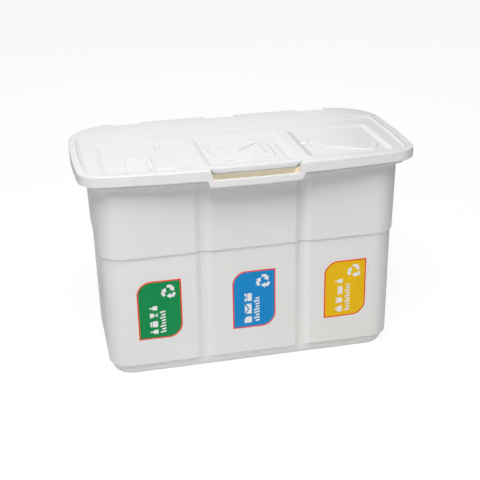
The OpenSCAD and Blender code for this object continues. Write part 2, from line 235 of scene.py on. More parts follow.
# %% The plastics
def plastic(name, colour, cloud, gloss_low, gloss_high,
            grain_amount=0.5, flow_amount=0.12, relief=0.00012, glow=0.0):
    material = bpy.data.materials.new(name)
    material.use_nodes = True
    tree = material.node_tree
    surface = tree.nodes["Principled BSDF"]
    group = tree.nodes.new("ShaderNodeGroup")
    group.node_tree = moulded
    group.inputs["Colour"].default_value = (*colour, 1)
    group.inputs["Cloud"].default_value = (*cloud, 1)
    group.inputs["Gloss Low"].default_value = gloss_low
    group.inputs["Gloss High"].default_value = gloss_high
    group.inputs["Grain"].default_value = grain_amount
    group.inputs["Flow"].default_value = flow_amount
    bump = tree.nodes.new("ShaderNodeBump")
    bump.inputs["Strength"].default_value = 0.35
    bump.inputs["Distance"].default_value = relief
    tree.links.new(group.outputs["Colour"], surface.inputs["Base Color"])
    tree.links.new(group.outputs["Roughness"], surface.inputs["Roughness"])
    tree.links.new(group.outputs["Height"], bump.inputs["Height"])
    tree.links.new(bump.outputs["Normal"], surface.inputs["Normal"])
    surface.inputs["IOR"].default_value = 1.49
    # A glow paints light into the colour: the piece shines a little of its own colour though it is no lamp.
    if glow:
        tree.links.new(group.outputs["Colour"], surface.inputs["Emission Color"])
        surface.inputs["Emission Strength"].default_value = glow
    return material


white_tub = plastic("white_polypropylene_tub", (0.800, 0.800, 0.785), (0.785, 0.785, 0.768), 0.30, 0.40)
# The lid is the same plastic as the tub, painted a little darker and cooler: painted shade that keeps its
# brightly lit top from washing out.
white_lid_painted_shade = plastic("white_polypropylene_lid_painted_shade", (0.790, 0.794, 0.802), (0.778, 0.782, 0.789), 0.26, 0.31,
                    grain_amount=0.04, flow_amount=0.2, relief=0.0001)
# The bins' glow is painted light: it stands for daylight that passes through the tub's white walls and lights
# the bins from all sides.
sand = plastic("sand_polypropylene", (0.800, 0.725, 0.590), (0.775, 0.700, 0.565), 0.34, 0.46, glow=0.36)
print("plastics:", white_tub.name, white_lid_painted_shade.name, sand.name)

# %% [markdown]
# ## Rings and lofts
# A moulded tub is a stack of rings: each ring is the outline at one height. A circle is
# created, its points are moved onto the first outline, and its edge is extruded to the next
# ring again and again. All rings have the same number of points, so the skin stays regular.

# %% Helpers for rings


def soft_step(t, softness=0.15):
    """0 below 0 and 1 above 1, a straight ramp between, with both bends rounded."""
    if t <= -softness:
        return 0.0
    if t < softness:
        return (t + softness) ** 2 / (4 * softness)
    if t < 1 - softness:
        return t
    if t < 1 + softness:
        return 1 - (1 + softness - t) ** 2 / (4 * softness)
    return 1.0


def smooth(t):
    t = min(1.0, max(0.0, t))
    return t * t * (3 - 2 * t)


def rounded(stations, steps=3):
    """Rings from (ring, radius) stations: a ring with a radius is replaced by a small curve."""
    rings = []
    for k, (ring, radius) in enumerate(stations):
        if radius == 0 or k in (0, len(stations) - 1):
            rings.append(ring)
            continue
        before, after = stations[k - 1][0], stations[k + 1][0]
        curve = [[] for _ in range(steps + 1)]
        for p, a, b in zip(ring, before, after):
            start = p + (a - p) * min(radius / max((a - p).length, 1e-6), 0.42)
            end = p + (b - p) * min(radius / max((b - p).length, 1e-6), 0.42)
            for i in range(steps + 1):
                t = i / steps
                curve[i].append(start * (1 - t) ** 2 + p * 2 * t * (1 - t) + end * t ** 2)
        rings += curve
    return rings


def place(p):
    """A point in millimetres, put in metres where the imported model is."""
    return Vector((p[0] * MM, (p[1] + SHIFT_Y) * MM, p[2] * MM))


def new_loop(bm, points):
    """A closed loop of points in millimetres: a circle, walked round in order and moved onto them."""
    verts = bmesh.ops.create_circle(bm, segments=len(points), radius=1)["verts"]
    loop = [verts[0], verts[0].link_edges[0].other_vert(verts[0])]
    while len(loop) < len(points):
        loop.append(next(v for v in (e.other_vert(loop[-1]) for e in loop[-1].link_edges) if v != loop[-2]))
    for vert, p in zip(loop, points):
        vert.co = place(p)
    return loop


def loop_edges(bm, loop):
    return [bm.edges.get((loop[i - 1], loop[i])) for i in range(len(loop))]


def add_loft(bm, rings):
    """Adds a closed skin through the rings to bm."""
    ring = new_loop(bm, rings[0])
    first = list(ring)
    for points in rings[1:]:
        made = bmesh.ops.extrude_edge_only(bm, edges=loop_edges(bm, ring))["geom"]
        fresh = {v for v in made if isinstance(v, bmesh.types.BMVert)}
        ring = [next(e.other_vert(v) for e in v.link_edges if e.other_vert(v) in fresh) for v in ring]
        for vert, p in zip(ring, points):
            vert.co = place(p)
    for end in (first, ring):
        bmesh.ops.contextual_create(bm, geom=loop_edges(bm, end))
    return first, ring


def finish_piece(bm, name, materials, body, nodes, sharp=32):
    """Turns bm into a piece that rides on a body and stands for its CAD nodes."""
    bmesh.ops.recalc_face_normals(bm, faces=bm.faces[:])
    for face in bm.faces:
        face.smooth = True
    mesh = bpy.data.meshes.new(name)
    bm.to_mesh(mesh)
    bm.free()
    mesh.set_sharp_from_angle(angle=math.radians(sharp))
    for material in materials:
        mesh.materials.append(material)
    piece = bpy.data.objects.new(name, mesh)
    scene.collection.objects.link(piece)
    # Large flat faces decide the shading at their edges, so that they stay flat to the eye.
    weigh = piece.modifiers.new("weigh_normals", "WEIGHTED_NORMAL")
    weigh.keep_sharp = True
    seen = piece.evaluated_get(bpy.context.evaluated_depsgraph_get())
    piece.data = bpy.data.meshes.new_from_object(seen)
    piece.modifiers.clear()
    bpy.data.meshes.remove(mesh)
    mesh = piece.data
    mesh.name = name
    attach(piece, body)
    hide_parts(*nodes)
    print(name, "has", sum(len(p.vertices) - 2 for p in mesh.polygons), "triangles")
    return piece


# %% [markdown]
# ## The tub's sizes
# These are the sizes of the real tub in millimetres: the rim's outline with its bowed front
# and large back corners, the wall below it, and the two flutes that divide it into three bays.

# %% Outlines
HALF_WIDTH, HALF_DEPTH, RIM_Z = 325.0, 176.5, 424.0
WALL_X, WALL_Y, WALL_CORNER, THICK = 296.0, 141.0, 50.0, 3.0
FLUTE_X, FLUTE_MOUTH, FLUTE_FLOOR, FLUTE_DEPTH = 98.0, 30.0, 9.0, 5.2
FRONT_CORNER, BACK_CORNER = 45.0, 100.0
BAND, BAND_ROUND, SEAT = 14.0, 1.5, 4.5
SEAT_Z, SKIRT_Z, FLARE_Z = 418.2, 404.5, 388.0
FLARE_FOOT, FLARE_TOP = 392.0, 395.0
GRIP_Z, GRIP_SKIRT_Z, GRIP_HALF = 405.0, 391.0, 85.0
FRONT_BOW, FRONT_BOW_AT, SIDE_BOW = 13.6, 250.0, 10.0
BACK_IN, BACK_Z, BACK_SKIRT_Z, BACK_LEDGE = 13.5, 418.2, 401.7, 5.0
STEP_Z, PLINTH_Z = 250.0, 20.0
UPPER_DRAFT, BAY_DRAFT, STEP_DEEP, FOOT_DEEP = 0.027, 0.012, 3.2, 5.7
SIDE_POINTS = 8
FRONT_ANGLES = [-90 + 3.75 * k for k in range(25)]
BACK_ANGLES = [0, 1.7, 3.4, 5.0, 5.3, 5.6, 6.0, 6.3, 6.6, 7.0, 9.0, 10.5, 12]
BACK_ANGLES += [12 + 3.9 * k for k in range(1, 21)]


def upper_in(z):
    return UPPER_DRAFT * (FLARE_Z - z)


STEP_IN = upper_in(STEP_Z) + STEP_DEEP


def bay_in(z):
    return STEP_IN + BAY_DRAFT * (STEP_Z - z)


PLINTH_IN = bay_in(PLINTH_Z) + FLUTE_DEPTH
FOOT_IN = PLINTH_IN + FOOT_DEEP


def front_xs(last):
    """Places across half the front: close together over the flute, wide apart elsewhere."""
    xs = [10, 30, 50, 65, 73] + [77 + 1.2 * k for k in range(37)]
    return xs + [xs[-1] + (last - xs[-1]) * k / 10 for k in range(1, 10)]


def both_halves(half):
    return half + [Vector((-p.x, p.y, p.z)) for p in reversed(half)]


def flute_at(x, depth):
    ramp = (FLUTE_MOUTH / 2 - abs(x - FLUTE_X)) / (FLUTE_MOUTH / 2 - FLUTE_FLOOR / 2)
    return depth * soft_step(ramp)


def arc(cx, cy, r, angles, z=0):
    return [Vector((cx + r * math.cos(math.radians(a)), cy + r * math.sin(math.radians(a)), z))
            for a in angles]


def wall_ring(inset, flute, z, inside=0.0):
    w, d = WALL_X - inset - inside, WALL_Y - inset - inside
    r = WALL_CORNER - min(inset, 10) - inside
    xs = front_xs(w - r)
    half = [Vector((x, flute_at(x, flute) - d, z)) for x in xs]
    half += arc(w - r, r - d, r, FRONT_ANGLES, z)
    half += [Vector((w, (d - r) * (2 * k / (SIDE_POINTS + 1) - 1), z)) for k in range(1, SIDE_POINTS + 1)]
    half += arc(w - r, d - r, r, BACK_ANGLES, z)
    half += [Vector((x, d - flute_at(x, flute), z)) for x in reversed(xs)]
    return both_halves(half)


def front_y(x):
    """The bowed front edge: FRONT_BOW further back at FRONT_BOW_AT from the middle."""
    return FRONT_BOW * (x / FRONT_BOW_AT) ** 2 - HALF_DEPTH


def side_x(y):
    return HALF_WIDTH - SIDE_BOW * (y / HALF_DEPTH) ** 2


FRONT_CY = front_y(HALF_WIDTH - FRONT_CORNER) + FRONT_CORNER
FRONT_CX = side_x(FRONT_CY) - FRONT_CORNER
BACK_CY = HALF_DEPTH - BACK_CORNER
BACK_CX = side_x(BACK_CY) - BACK_CORNER
FRONT_POINTS = len(front_xs(FRONT_CX))
BACK_ARC_FROM = FRONT_POINTS + len(FRONT_ANGLES) + SIDE_POINTS


def rim_half(inset):
    xs = front_xs(FRONT_CX)
    half = [Vector((x, front_y(x) + inset, 0)) for x in xs]
    half += arc(FRONT_CX, FRONT_CY, FRONT_CORNER - inset, FRONT_ANGLES)
    ys = [FRONT_CY + (BACK_CY - FRONT_CY) * k / (SIDE_POINTS + 1) for k in range(1, SIDE_POINTS + 1)]
    half += [Vector((side_x(y) - inset, y, 0)) for y in ys]
    half += arc(BACK_CX, BACK_CY, BACK_CORNER - inset, BACK_ANGLES)
    return half + [Vector((x, HALF_DEPTH - inset, 0)) for x in reversed(front_xs(BACK_CX))]


def rim_ring(plain, grip, back, wide=0.0, back_start=5.0):
    """A ring of the rim. Each stretch is (inset, height), and the stretches blend."""
    halves = [rim_half(s[0]) for s in (plain, grip, back)]
    ring = []
    for i, (a, b, c) in enumerate(zip(*halves)):
        g = soft_step((GRIP_HALF + wide - a.x) / 4.5, 0.35) if i < FRONT_POINTS else 0.0
        k = 0.0
        if i >= BACK_ARC_FROM:
            turn = i - BACK_ARC_FROM
            k = smooth((BACK_ANGLES[turn] if turn < len(BACK_ANGLES) else 90) - back_start)
        p = a * (1 - g - k) + b * g + c * k
        p.z = plain[1] * (1 - g - k) + grip[1] * g + back[1] * k
        ring.append(p)
    return both_halves(ring)


print("points in a ring:", len(wall_ring(0, 5, 0)), "and", len(rim_ring((0, 1), (0, 1), (0, 1))))

# %% [markdown]
# ## The tub
# The tub is drawn from its standing ring up over the plinth, the bays, the step and the upper
# band, out over the flare, round the rim, and down the inside to the floor. Giving each ring a
# small radius rounds the moulded edges. The rim dips at the front to leave room for fingers.

# %% The tub's skin
T = THICK
IN_BAND, IN_SEAT = BAND, BAND + SEAT
stations = [
    (wall_ring(FOOT_IN, 0, 3, 14), 0),
    (wall_ring(FOOT_IN, 0, 0, 12), 0.8),
    (wall_ring(FOOT_IN, 0, 0), 1.5),
    (wall_ring(PLINTH_IN + 1.2, 0, 8), 6.0),
    (wall_ring(PLINTH_IN, 0, PLINTH_Z - 1), 0.8),
    (wall_ring(bay_in(PLINTH_Z), FLUTE_DEPTH, PLINTH_Z + 1.5), 1.8),
    (wall_ring(bay_in(STEP_Z), FLUTE_DEPTH, STEP_Z - 1.5), 1.6),
    (wall_ring(upper_in(STEP_Z), FLUTE_DEPTH, STEP_Z + 1.5), 1.6),
    (wall_ring(0, FLUTE_DEPTH * 0.9, FLARE_FOOT), 2.5),
    (rim_ring((IN_SEAT - T, FLARE_TOP), (T + 5, GRIP_Z - T - 3), (BACK_IN + BACK_LEDGE, FLARE_TOP), 5), 1),
    (rim_ring((IN_SEAT - T, SEAT_Z - T), (T + 4, GRIP_Z - T - 2),
              (BACK_IN + BACK_LEDGE, BACK_Z - T - 1), 4), 0.5),
    (rim_ring((IN_BAND - T, SEAT_Z - T), (T + 3, GRIP_Z - T - 1),
              (BACK_IN + T + 1.5, BACK_Z - T - 0.5), 4), 0),
    (rim_ring((IN_BAND - T, RIM_Z - T), (T + 2, GRIP_Z - T - 0.5), (BACK_IN + T + 1, BACK_Z - T), 3), 0),
    (rim_ring((T, RIM_Z - T), (T, GRIP_Z - T), (BACK_IN + T, BACK_Z - T), 3), 0.5),
    (rim_ring((T, SKIRT_Z), (T, GRIP_SKIRT_Z), (BACK_IN + T, BACK_SKIRT_Z), 6), 0.7),
    (rim_ring((0, SKIRT_Z), (0, GRIP_SKIRT_Z), (BACK_IN, BACK_SKIRT_Z), 6), 1.0),
    (rim_ring((0, RIM_Z), (0, GRIP_Z), (BACK_IN, BACK_Z)), BAND_ROUND + 0.6),
    (rim_ring((IN_BAND, RIM_Z), (T + 1.5, GRIP_Z), (BACK_IN + 1, BACK_Z)), 0.6),
    (rim_ring((IN_BAND + 0.1, SEAT_Z), (T + 2, GRIP_Z - 0.4), (BACK_IN + 1.1, BACK_Z - 0.1)), 0.6),
    (rim_ring((IN_SEAT, SEAT_Z), (T + 3, GRIP_Z - 1), (BACK_IN + BACK_LEDGE + T, BACK_Z - 0.2)), 0.6),
    (rim_ring((IN_SEAT, FLARE_TOP + 2.5), (T + 8, GRIP_Z - T - 2),
              (BACK_IN + BACK_LEDGE + T, FLARE_TOP + 2.5)), 1),
    (wall_ring(0, FLUTE_DEPTH * 0.9, FLARE_FOOT + 1.5, T), 2),
    (wall_ring(upper_in(STEP_Z), FLUTE_DEPTH, STEP_Z + 1 - T, T), 1.5),
    (wall_ring(bay_in(STEP_Z), FLUTE_DEPTH, STEP_Z - 1 - T, T), 1.5),
    (wall_ring(bay_in(PLINTH_Z), FLUTE_DEPTH, PLINTH_Z + 1.5 + T, T), 1.5),
    (wall_ring(PLINTH_IN, 0, PLINTH_Z - 1 + T, T), 1.5),
    (wall_ring(FOOT_IN, 0, 3 + T, T), 0),
]
tub_bm = bmesh.new()
add_loft(tub_bm, rounded(stations))
print("the tub's skin has", len(tub_bm.faces), "faces")

# %% [markdown]
# ## Knuckles
# Three knuckles at the tub's back edge hold the hinge pins. Each is a tube on a short web.
# The outline is one loop with a straight foot, bridged to the loop of the bore, and the ring
# of faces is then extruded along the pin.

# %% Knuckles
HINGE_Y, HINGE_Z, KNUCKLE, PIN, BORE = 171.0, 415.5, 5.5, 2.6, 2.68
NOTCHES, NOTCH, CHEEK, NOTCH_Y = (-199.0, 0.0, 199.0), 64.0, 5.0, 164.0
LOOP = 40


def add_eye(bm, x, length, outline, bore):
    """Adds a bored block along X: outline is a function of an angle that gives (y, z)."""
    loops = []
    for make in (outline, lambda a: (HINGE_Y + bore * math.cos(a), HINGE_Z + bore * math.sin(a))):
        loops += loop_edges(bm, new_loop(bm, [(x - length / 2, *make(2 * math.pi * k / LOOP))
                                              for k in range(LOOP)]))
    ring = bmesh.ops.bridge_loops(bm, edges=loops)["faces"]
    made = bmesh.ops.extrude_face_region(bm, geom=ring)["geom"]
    far = [v for v in made if isinstance(v, bmesh.types.BMVert)]
    bmesh.ops.translate(bm, verts=far, vec=Vector((length * MM, 0, 0)))


def knuckle_outline(a):
    """A circle whose front is drawn out into the web that joins the tub's back wall."""
    y, z = math.cos(a), math.sin(a)
    if y >= -0.05:
        return HINGE_Y + KNUCKLE * y, HINGE_Z + KNUCKLE * z
    reach = smooth(-y * 1.6)
    top = 0.0 if z > 0 else -1.0
    return (HINGE_Y + KNUCKLE * y) * (1 - reach) + (NOTCH_Y - 4) * reach, \
        HINGE_Z + KNUCKLE * (z * (1 - reach) + (max(z, -1) if z < top else z * 0.9) * reach)


for x in NOTCHES:
    add_eye(tub_bm, x, NOTCH - 1.2, knuckle_outline, BORE)
finish_piece(tub_bm, "tub_shell", [white_tub], "tub", ["tub"])

# %% [markdown]
# ## The lid's sheet
# The lid is a thin plate that lies inside the rim's band at the front and sides, and reaches
# over the tub's edge at the back. It starts as a flat closed outline. Many straight cuts
# through it make a grid whose lines are close together where the surface turns, and then each
# point gets its height: three soft sunk panels, two ribs, and a slope up to the hinge deck.

# %% Heights of the lid
LID_IN, LID_TOP, CREASE_Y = 14.35, 421.5, 78.0
DROP, LID_THICK, DECK_LEAN = RIM_Z - LID_TOP, 3.0, 0.6
PANELS = ((-277.8, -109.5), (-86.5, 86.5), (109.5, 277.8))
PANEL_FRONT, PANEL_BACK, PANEL_ROUND, PANEL_DEEP, PANEL_SOFT = -139.3, 43.0, 16.0, 3.0, 14.0
DECK_FRONT, DECK_CURL, DECK_HALF = 143.0, 55.0, 305.0


def slope_end(x):
    """Where the slope meets the hinge deck: further forward towards the lid's ends."""
    return DECK_FRONT - DECK_CURL * min(1.0, (abs(x) / DECK_HALF) ** 6)


def panel_inside(x, y):
    """How far a point lies inside the nearest panel's edge, in millimetres."""
    best = -99.0
    for x0, x1 in PANELS:
        dx, dy = max(x0 - x, x - x1), max(PANEL_FRONT - y, y - PANEL_BACK)
        px, py = dx + PANEL_ROUND, dy + PANEL_ROUND
        outside = math.hypot(max(px, 0), max(py, 0)) + min(max(px, py), 0) - PANEL_ROUND
        best = max(best, -outside)
    return best


def lid_rise(x, y):
    """0 on the plate and 1 on the hinge deck: a crisp first step, then a straight slope."""
    slope = soft_step((y - CREASE_Y) / max(slope_end(x) - CREASE_Y, 6), 0.05)
    return 0.4 * smooth((y - CREASE_Y) / 5) + 0.6 * slope


def deck_fall(x, y):
    """The hinge deck leans a little to the back."""
    return DECK_LEAN * smooth((y - slope_end(x) - 2) / 60)


def lid_height(x, y):
    """Height of the lid's upper face below the deck, from -DROP at the plate to 0 at the deck."""
    sunk = PANEL_DEEP * smooth((panel_inside(x, y) + 2) / PANEL_SOFT)
    return DROP * (lid_rise(x, y) - 1) - deck_fall(x, y) - sunk


def lid_ring(inset, z, bead=0.0):
    """One ring of the lid's edge. Round the plate, but not on the deck, a bead stands up."""
    ring = rim_ring((LID_IN + inset, z), (LID_IN + inset, z), (inset, z), 0, 6.0)
    for p in ring:
        p.z += bead * (1 - lid_rise(p.x, p.y))
    return ring


def cut(bm, axis, value):
    normal = Vector((1, 0, 0)) if axis == 0 else Vector((0, 1, 0))
    point = place((value, value, 0))
    bmesh.ops.bisect_plane(bm, geom=bm.verts[:] + bm.edges[:] + bm.faces[:], dist=1e-7,
                           plane_co=point, plane_no=normal)


def lines(stretches):
    """Cutting places from (start, end, spacing) stretches."""
    out = []
    for start, end, gap in stretches:
        n = max(1, round((end - start) / gap))
        out += [start + (end - start) * k / n for k in range(n)]
    return out


x_cuts = []
for x0, x1 in PANELS:
    x_cuts += lines([(x0 - 3, x0 + 21, 2), (x0 + 21, x1 - 21, 8), (x1 - 21, x1 + 3, 2)]) + [x1 + 3]
x_cuts += [side * (285 + 4 * k) for k in range(8) for side in (-1, 1)]
x_cuts += [middle + side * NOTCH / 2 for middle in NOTCHES for side in (-1, 1)]
y_cuts = lines([(PANEL_FRONT - 3, PANEL_FRONT + 21, 2), (PANEL_FRONT + 21, PANEL_BACK - 21, 12),
                (PANEL_BACK - 21, PANEL_BACK + 3, 2), (PANEL_BACK + 3, CREASE_Y - 4, 9),
                (CREASE_Y - 4, CREASE_Y + 8, 1.5), (CREASE_Y + 8, 150, 3)]) + [NOTCH_Y]
lid_bm = bmesh.new()
add_loft(lid_bm, [lid_ring(0.6, -LID_THICK), lid_ring(0, -LID_THICK + 0.6), lid_ring(0, -1.1, 1.3),
                  lid_ring(0.25, -0.4, 1.5), lid_ring(0.9, -0.05, 1.75), lid_ring(1.9, 0, 1.9),
                  lid_ring(3.4, 0, 1.8), lid_ring(4.6, 0, 1.1), lid_ring(6.0, 0, 0.3), lid_ring(7.4, 0)])
for value in x_cuts:
    cut(lid_bm, 0, value)
for value in y_cuts:
    cut(lid_bm, 1, value)
for vert in lid_bm.verts:
    x, y = vert.co.x / MM, vert.co.y / MM - SHIFT_Y
    vert.co.z += (RIM_Z + lid_height(x, y)) * MM
print("the lid's sheet has", len(lid_bm.faces), "faces from", len(x_cuts) + len(y_cuts), "cuts")

# %% [markdown]
# ## Notches for the hinge
# The deck's back edge is cut away over each knuckle. The faces inside a notch are deleted,
# an upright edge is drawn at each inner corner, and the three open sides are filled.

# %% Notches
TINY = 0.02


def near(value, target):
    return abs(value - target) < TINY


for middle in NOTCHES:
    sides = (middle - NOTCH / 2, middle + NOTCH / 2)
    gone = []
    for face in lid_bm.faces:
        centre = face.calc_center_median()
        x, y = centre.x / MM, centre.y / MM - SHIFT_Y
        if sides[0] < x < sides[1] and y > NOTCH_Y:
            gone.append(face)
    bmesh.ops.delete(lid_bm, geom=gone, context="FACES")
    for side in sides:
        corner = [v for v in lid_bm.verts if near(v.co.x / MM, side)
                  and near(v.co.y / MM - SHIFT_Y, NOTCH_Y)]
        bmesh.ops.contextual_create(lid_bm, geom=corner)
    for axis, value in ((0, sides[0]), (0, sides[1]), (1, NOTCH_Y)):
        rim = []
        for edge in lid_bm.edges:
            if len(edge.link_faces) > 1:
                continue
            ps = [(v.co.x / MM, v.co.y / MM - SHIFT_Y) for v in edge.verts]
            if all(near(p[axis], value) and sides[0] - TINY <= p[0] <= sides[1] + TINY
                   and p[1] >= NOTCH_Y - TINY for p in ps):
                rim.append(edge)
        bmesh.ops.contextual_create(lid_bm, geom=rim)
print("open edges left:", sum(len(e.link_faces) != 2 for e in lid_bm.edges))

# %% [markdown]
# ## Parts moulded under the lid
# A stiffening rib runs round inside the seat, a lip turns down over the finger grip, and two
# cheeks beside each notch hold the ends of a pin.

# %% Rib, lip and cheeks
RIB_IN, RIB_LOW, RIB_END = 20.5, 409.5, 74.0
outer_path = [p for p in rim_half(RIB_IN) if p.y < RIB_END]
inner_path = [p for p in rim_half(RIB_IN + 2)][:len(outer_path)]
outer_path = [Vector((-p.x, p.y, 0)) for p in reversed(outer_path)] + outer_path
inner_path = [Vector((-p.x, p.y, 0)) for p in reversed(inner_path)] + inner_path
rib_sections = []
for outer, inner in zip(outer_path, inner_path):
    across = inner - outer
    rib_sections.append([Vector((*(outer + across * s).xy, z)) for s, z in (
        (0, LID_TOP - 2), (0, RIB_LOW + 0.6), (0.3, RIB_LOW),
        (0.7, RIB_LOW), (1, RIB_LOW + 0.6), (1, LID_TOP - 2))])
add_loft(lid_bm, rib_sections)

LIP_HALF, LIP_TALL = 82.0, 8.5
lip_sections = []
for k in range(41):
    x = -LIP_HALF + 2 * LIP_HALF * k / 40
    end = min(k, 40 - k)
    rise = 5.5 * (1 - math.sqrt(1 - (1 - min(end, 2) / 2) ** 2)) if end < 2 else 0.0
    y0 = front_y(x) + LID_IN + 0.05
    low = LID_TOP - LIP_TALL + rise
    lip_sections.append([Vector((x, y0 + dy, z)) for dy, z in (
        (0, LID_TOP - 1.2), (0, low + 1), (0.5, low + 0.2),
        (1.5, low), (2.6, low + 0.6), (2.8, LID_TOP - 1.2))])
add_loft(lid_bm, lip_sections)


def cheek_outline(a):
    y, z = math.cos(a), math.sin(a)
    if z <= 0:
        return HINGE_Y + KNUCKLE * y, HINGE_Z + KNUCKLE * z
    widest = max(abs(y), z)
    return HINGE_Y + (KNUCKLE * 0.999) * y / widest, HINGE_Z + (RIM_Z - 2.5 - HINGE_Z) * z / widest


for x in NOTCHES:
    for side in (-1, 1):
        add_eye(lid_bm, x + side * (NOTCH + CHEEK) / 2, CHEEK, cheek_outline, PIN + 0.01)
print("rib, lip and", 2 * len(NOTCHES), "cheeks added")

# %% [markdown]
# ## Raised pictures
# Each panel carries a raised picture of what goes into the bin below it: bottle and jar,
# sheets and envelope, plastic bottle. Each shape is a flat polygon, extruded upwards, with
# its upper edges bevelled so that they catch the light.

# %% Helpers for raised shapes


def add_plate(bm, points, to_space, low, high, bevel=0.0, material=0):
    """Adds a polygon as a slab. to_space turns (u, v, h) into a point in millimetres."""
    loop = new_loop(bm, [to_space(u, v, low) for u, v in points])
    base = bmesh.ops.contextual_create(bm, geom=loop_edges(bm, loop))["faces"]
    made = bmesh.ops.extrude_face_region(bm, geom=base, use_keep_orig=True)["geom"]
    top = [g for g in made if isinstance(g, bmesh.types.BMFace)][0]
    lift = place(to_space(0, 0, high)) - place(to_space(0, 0, low))
    bmesh.ops.translate(bm, verts=top.verts[:], vec=lift)
    faces = set(base) | {f for v in top.verts for f in v.link_faces}
    if bevel:
        cut_edges = bmesh.ops.bevel(bm, geom=top.edges[:], offset=bevel * MM, offset_type="OFFSET",
                                    affect="EDGES", segments=3, profile=0.5, material=-1, clamp_overlap=True)
        faces |= set(cut_edges["faces"])
    for face in faces:
        if face.is_valid:
            face.material_index = material


def box_shape(u0, v0, u1, v1, r=0.0, steps=4):
    if r == 0:
        return [(u0, v0), (u1, v0), (u1, v1), (u0, v1)]
    out = []
    corners = ((u1 - r, v0 + r, -90), (u1 - r, v1 - r, 0), (u0 + r, v1 - r, 90), (u0 + r, v0 + r, 180))
    for cu, cv, start in corners:
        for k in range(steps + 1):
            a = math.radians(start + 90 * k / steps)
            out.append((cu + r * math.cos(a), cv + r * math.sin(a)))
    return out


def stroke(points, width):
    """A band of the given width along a few points, with mitred bends."""
    left, right_side = [], []
    for i, p in enumerate(points):
        a = Vector(points[max(i - 1, 0)])
        b = Vector(points[min(i + 1, len(points) - 1)])
        here = Vector(p)
        d0 = (here - a).normalized() if i else (b - here).normalized()
        d1 = (b - here).normalized() if i < len(points) - 1 else d0
        n0, n1 = Vector((-d0.y, d0.x)), Vector((-d1.y, d1.x))
        n = (n0 + n1).normalized()
        reach = width / 2 / max(n.dot(n0), 0.4)
        left.append(tuple(here + n * reach))
        right_side.append(tuple(here - n * reach))
    return right_side + left[::-1]


def ring_shape(cu, cv, r, steps=12):
    return [(cu + r * math.cos(2 * math.pi * k / steps), cv + r * math.sin(2 * math.pi * k / steps))
            for k in range(steps)]


def turned(points, degrees, u, v):
    c, s = math.cos(math.radians(degrees)), math.sin(math.radians(degrees))
    return [(u + c * p[0] - s * p[1], v + s * p[0] + c * p[1]) for p in points]


PICTURE_FLOOR = LID_TOP - PANEL_DEEP


def on_panel(u, v, h):
    return (u, v, PICTURE_FLOOR + h)


# %% Pictures on the lid
jar = [box_shape(-231, -128, -187, -62, 9), box_shape(-226, -57, -192, -43, 3)]
jar_bands = [box_shape(-226, -74, -192, -69.5, 2), box_shape(-226, -92, -192, -87.5, 2),
             box_shape(-226, -110, -192, -105.5, 2)]
wine_bottle = [[(-180, -128), (-176, -132), (-140, -132), (-136, -128), (-136, -58), (-141, -42),
                (-151, -28), (-152.5, 6), (-163.5, 6), (-165, -28), (-175, -42), (-180, -58)],
               box_shape(-166, 9, -150, 20, 2.5)]
wine_label = [box_shape(-175, -112, -141, -72, 3)]
envelope = [stroke([(-64, -6), (-64, -92), (42, -92), (42, -6), (-64, -6)], 7),
            stroke([(-60, -11), (-11, -54), (38, -11)], 7)]
sheets = [stroke([(-50, -105), (56, -105), (56, -20)], 6), stroke([(-38, -117), (70, -117), (70, -34)], 6)]
WATER_BOTTLE_AT = (154, 192, -64)


def lying_bottle(points):
    """Brings a part of the water bottle to its size and lays it across its panel."""
    return turned([(1.18 * u, 1.45 * v) for u, v in points], *WATER_BOTTLE_AT)


near_side = [(-62, -12), (-58, -20), (-46, -22), (-38, -20), (-32, -22), (-6, -22), (2, -19),
             (10, -22), (22, -20), (38, -9), (50, -8)]
water_bottle = lying_bottle(near_side + [(u, -v) for u, v in reversed(near_side)])
water_cap = lying_bottle(box_shape(53, -9.5, 65, 9.5, 2.5))
water_label = lying_bottle(box_shape(-28, -17, -2, 17, 3))
water_dimples = [turned(ring_shape(-65, t, 3.2), *WATER_BOTTLE_AT) for t in (-15, 0, 15)]
for shape in jar + wine_bottle + envelope + sheets + [water_bottle, water_cap]:
    add_plate(lid_bm, shape, on_panel, -0.6, 2.2, 1.5)
for shape in jar_bands + wine_label + [water_label] + water_dimples:
    add_plate(lid_bm, shape, on_panel, 1.9, 2.9, 0.7)
finish_piece(lid_bm, "lid_panel", [white_lid_painted_shade], "lid", ["lid"], 40)

# %% [markdown]
# ## Sorting bins
# Three equal bins stand side by side on the tub's floor. Each is a tapered bucket with round
# corners, a rim that rolls outwards, and a lifting lip at its front and back.

# %% Bins
BIN_PITCH, BIN_X, BIN_Y, BIN_ROUND, BIN_WALL = 191.83, 95.17, 128.0, 30.0, 2.0
BIN_TOP, BIN_FOOT, BIN_FOOT_X, BIN_FOOT_Y = 402.0, 6.3, 76.6, 111.4
BIN_FLANGE, BIN_SIDE, LIFT, LIFT_HALF = 9.0, 4.0, 3.5, 45.0


def bin_ring(x, w, d, r, z, lift=0.0):
    run = w - r
    xs = [run * k / 12 + 0.5 for k in range(12)]
    half = [Vector((u, -d - lift * (1 - smooth((u - LIFT_HALF + 4) / 8)), z)) for u in xs]
    half += arc(w - r, r - d, r, [-90 + 9 * k for k in range(11)], z)
    half += [Vector((w, (d - r) * k / 4, z)) for k in (-3, -2, -1, 0, 1, 2, 3)]
    half += arc(w - r, d - r, r, [9 * k for k in range(11)], z)
    half += [Vector((u, d + lift * (1 - smooth((u - LIFT_HALF + 4) / 8)), z)) for u in reversed(xs)]
    return [p + Vector((x, 0, 0)) for p in both_halves(half)]


